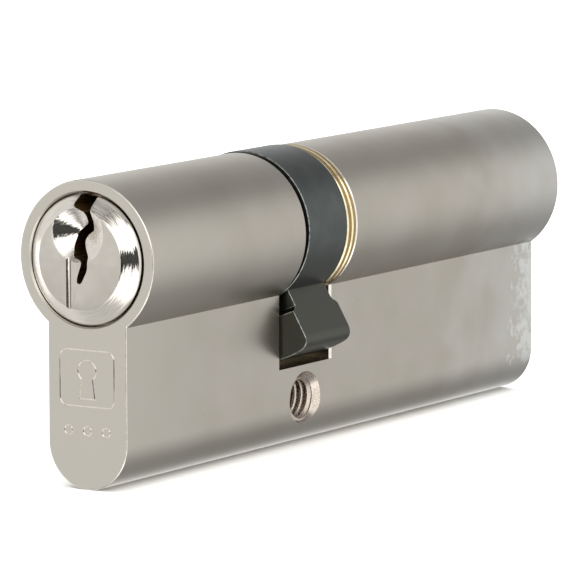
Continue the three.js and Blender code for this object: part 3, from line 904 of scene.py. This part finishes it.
def build_lock():
    """Every piece of the lock."""
    lock_body()
    for side in SIDES:
        lock_plug(side)
    lock_cam()
    lock_clutch()
    for side in SIDES:
        circlip(side)
    for name in ("brass_ring_inner", "brass_ring_outer"):
        brass_ring(name)
    for (side, number), y in CHAMBERS.items():
        for make in (key_pin, driver_pin, pin_spring, stopper):
            make(side, number, y)


# ---- the studio ----
def pale_floor():
    """A wide board under the lock's foot, which the metal doesn't mirror."""
    bm = bmesh.new()
    bmesh.ops.create_grid(bm, x_segments=1, y_segments=1, size=6)
    bmesh.ops.translate(bm, verts=bm.verts, vec=(0, 0, FOOT_Z))
    floor = finished("floor", bm, pale_board())
    floor.visible_glossy = False


def level_by_height(tree, height, stops):
    """A level that follows (height, level) stops, from straight down at -1 to straight up at 1."""
    place = add(tree, "MapRange", {"Value": height, "From Min": -1, "From Max": 1})
    ramp = add(tree, "ValToRGB", {"Fac": place})
    elements = ramp.color_ramp.elements
    while len(elements) < len(stops):
        elements.new(0.5)
    for element, (at, level) in zip(elements, stops):
        element.position = (at + 1) / 2
        element.color = (level, level, level, 1)
    return ramp


# How a level eases from one value to another, and not in a straight line.
EASED = {"interpolation_type": "SMOOTHSTEP"}


def dark_oval(tree, way, azimuth, elevation, half_wide, half_high):
    """Nearly 0 inside a dark oval in that direction, in degrees, and 1 outside it."""
    a, e = radians(azimuth), radians(elevation)
    centre = Vector((sin(a) * cos(e), -cos(a) * cos(e), sin(e)))
    across = Vector((cos(a), sin(a), 0))
    squares = []
    for axis, half in ((across, half_wide), (centre.cross(across), half_high)):
        reach = add(tree, "VectorMath", {0: way, 1: axis / sin(radians(half))}, operation="DOT_PRODUCT")
        squares.append(add(tree, "Math", {0: reach, 1: reach}, operation="MULTIPLY"))
    total = add(tree, "Math", {0: squares[0], 1: squares[1]}, operation="ADD")
    facing = add(tree, "VectorMath", {0: way, 1: centre}, operation="DOT_PRODUCT")
    behind = add(tree, "Math", {0: facing, 1: 0}, operation="LESS_THAN")
    outside = add(tree, "Math", {0: behind, 1: 9, 2: total}, operation="MULTIPLY_ADD")
    soft_edge = {"From Min": 0.8, "From Max": 1.2, "To Min": 0.04, "To Max": 1}
    return add(tree, "MapRange", {**soft_edge, "Value": outside}, **EASED)


def rear_walls(tree, x, z):
    """The soft walls behind the lock, under a dim ceiling, brighter low down on the left."""
    walls = level_by_height(
        tree, z,
        [(-1, 0.4), (-0.6, 0.3), (-0.5, 0.36), (-0.37, 0.58), (-0.22, 0.76), (-0.05, 0.83), (0.27, 0.83),
         (0.37, 0.76), (0.45, 0.54), (0.5, 0.38), (0.545, 0.26), (0.62, 0.24), (0.8, 0.4), (1, 0.6)],
    )
    leftward = {"From Min": -0.13, "From Max": -0.02, "To Min": 1.2, "To Max": 1}
    far_left = {"From Min": -0.42, "From Max": -0.12, "To Min": 1.3, "To Max": 0}
    downward = {"From Min": -0.05, "From Max": 0.05, "To Min": 1, "To Max": 0}
    left = add(tree, "MapRange", {**leftward, "Value": x}, **EASED)
    level = add(tree, "Math", {0: walls, 1: left}, operation="MULTIPLY")
    corner = add(tree, "MapRange", {**far_left, "Value": x}, **EASED)
    low = add(tree, "MapRange", {**downward, "Value": z}, **EASED)
    glow = add(tree, "Math", {0: corner, 1: low, 2: 1}, operation="MULTIPLY_ADD")
    return add(tree, "Math", {0: level, 1: glow}, operation="MULTIPLY")


def front_room(tree, way, x, y, z):
    """The room behind the camera: a bright tent from the middle to the right, dark ovals where the camera
    and its stand are, and on the left a wall that pales upwards."""
    room = level_by_height(
        tree, z,
        [(-1, 0.75), (-0.84, 0.75), (-0.72, 1), (0.62, 1), (0.71, 0.4), (0.745, 0.15), (0.775, 0.7),
         (1, 0.7)],
    )
    tent = level_by_height(tree, z, [(-1, 0), (-0.84, 0), (-0.7, 1), (0.62, 1), (0.72, 0), (1, 0)])
    tent_from = {"From Min": -0.3, "From Max": 0.1, "To Min": 0, "To Max": 1.1}
    far_right = {"From Min": 0.66, "From Max": 0.8, "To Min": 1, "To Max": 0.62}
    across = add(tree, "MapRange", {**tent_from, "Value": x}, **EASED)
    level = add(tree, "Math", {0: across, 1: tent, 2: room}, operation="MULTIPLY_ADD")
    dimmed = add(tree, "MapRange", {**far_right, "Value": x}, **EASED)
    level = add(tree, "Math", {0: level, 1: dimmed}, operation="MULTIPLY")
    for oval in ((14, -12, 17, 18), (35, -2, 15, 11)):
        level = add(tree, "Math", {0: level, 1: dark_oval(tree, way, *oval)}, operation="MULTIPLY")
    wall = level_by_height(
        tree, z,
        [(-1, 0.8), (-0.7, 0.42), (-0.4, 0.55), (-0.26, 0.85), (-0.1, 1), (0.2, 1), (0.4, 0.72),
         (0.55, 0.42), (0.66, 0.45), (0.76, 1), (1, 1)],
    )
    on_left = {"From Min": -0.35, "From Max": -0.1, "To Min": 1, "To Max": 0}
    in_front = {"From Min": -0.6, "From Max": -0.35, "To Min": 1, "To Max": 0}
    left = add(tree, "MapRange", {**on_left, "Value": x}, **EASED)
    ahead = add(tree, "MapRange", {**in_front, "Value": y}, **EASED)
    share = add(tree, "Math", {0: left, 1: ahead}, operation="MULTIPLY")
    shaded = add(tree, "Mix", {0: share, 2: 1, 3: wall}, data_type="FLOAT")
    return add(tree, "Math", {0: level, 1: shaded}, operation="MULTIPLY")


def studio_light():
    """A white studio, which the metal mirrors, and a broad soft lamp overhead, which it doesn't."""
    world = bpy.data.worlds.new("studio")
    bpy.context.scene.world = world
    world.use_nodes = True
    tree = world.node_tree
    way = add(tree, "TexCoord").outputs["Generated"]
    x, y, z = add(tree, "SeparateXYZ", {"Vector": way}).outputs
    rearward = add(tree, "MapRange", {"Value": y, "From Min": -0.25, "From Max": 0.35}, **EASED)
    front, rear = front_room(tree, way, x, y, z), rear_walls(tree, x, z)
    level = add(tree, "Mix", {0: rearward, 2: front, 3: rear}, data_type="FLOAT")
    # The camera itself sees plain white behind the lock.
    seen = add(tree, "LightPath").outputs["Is Camera Ray"]
    strength = add(tree, "Math", {0: level, 1: seen}, operation="MAXIMUM")
    wire(tree, tree.nodes["Background"], {"Color": (1, 1, 1, 1), "Strength": strength})
    sun = bpy.data.lights.new("overhead_lamp", "SUN")
    sun.energy = 4.6
    sun.angle = radians(110)
    lamp = bpy.data.objects.new("overhead_lamp", sun)
    lamp.visible_glossy = False
    lamp.rotation_euler = (radians(-8), radians(8), 0)
    bpy.context.scene.collection.objects.link(lamp)


def camera():
    """A long lens from the front right, a little above the lock."""
    azimuth, elevation, roll = radians(32.5), radians(7.67), radians(-0.16)
    distance, aim = 0.614, Vector((1.8, 1.3, 12.3)) * MM
    focal_length, sensor_width = 349.3, 36
    back = Vector((sin(azimuth) * cos(elevation), -cos(azimuth) * cos(elevation), sin(elevation)))
    turn = back.to_track_quat("Z", "Y").to_matrix() @ Matrix.Rotation(roll, 3, "Z")
    lens = bpy.data.cameras.new("camera")
    lens.lens = focal_length
    lens.sensor_width = sensor_width
    made = bpy.data.objects.new("camera", lens)
    made.matrix_world = Matrix.Translation(aim + back * distance) @ turn.to_4x4()
    bpy.context.scene.collection.objects.link(made)
    bpy.context.scene.camera = made


camera()
studio_light()
pale_floor()
build_lock()
bpy.context.scene.view_settings.view_transform = "Standard"
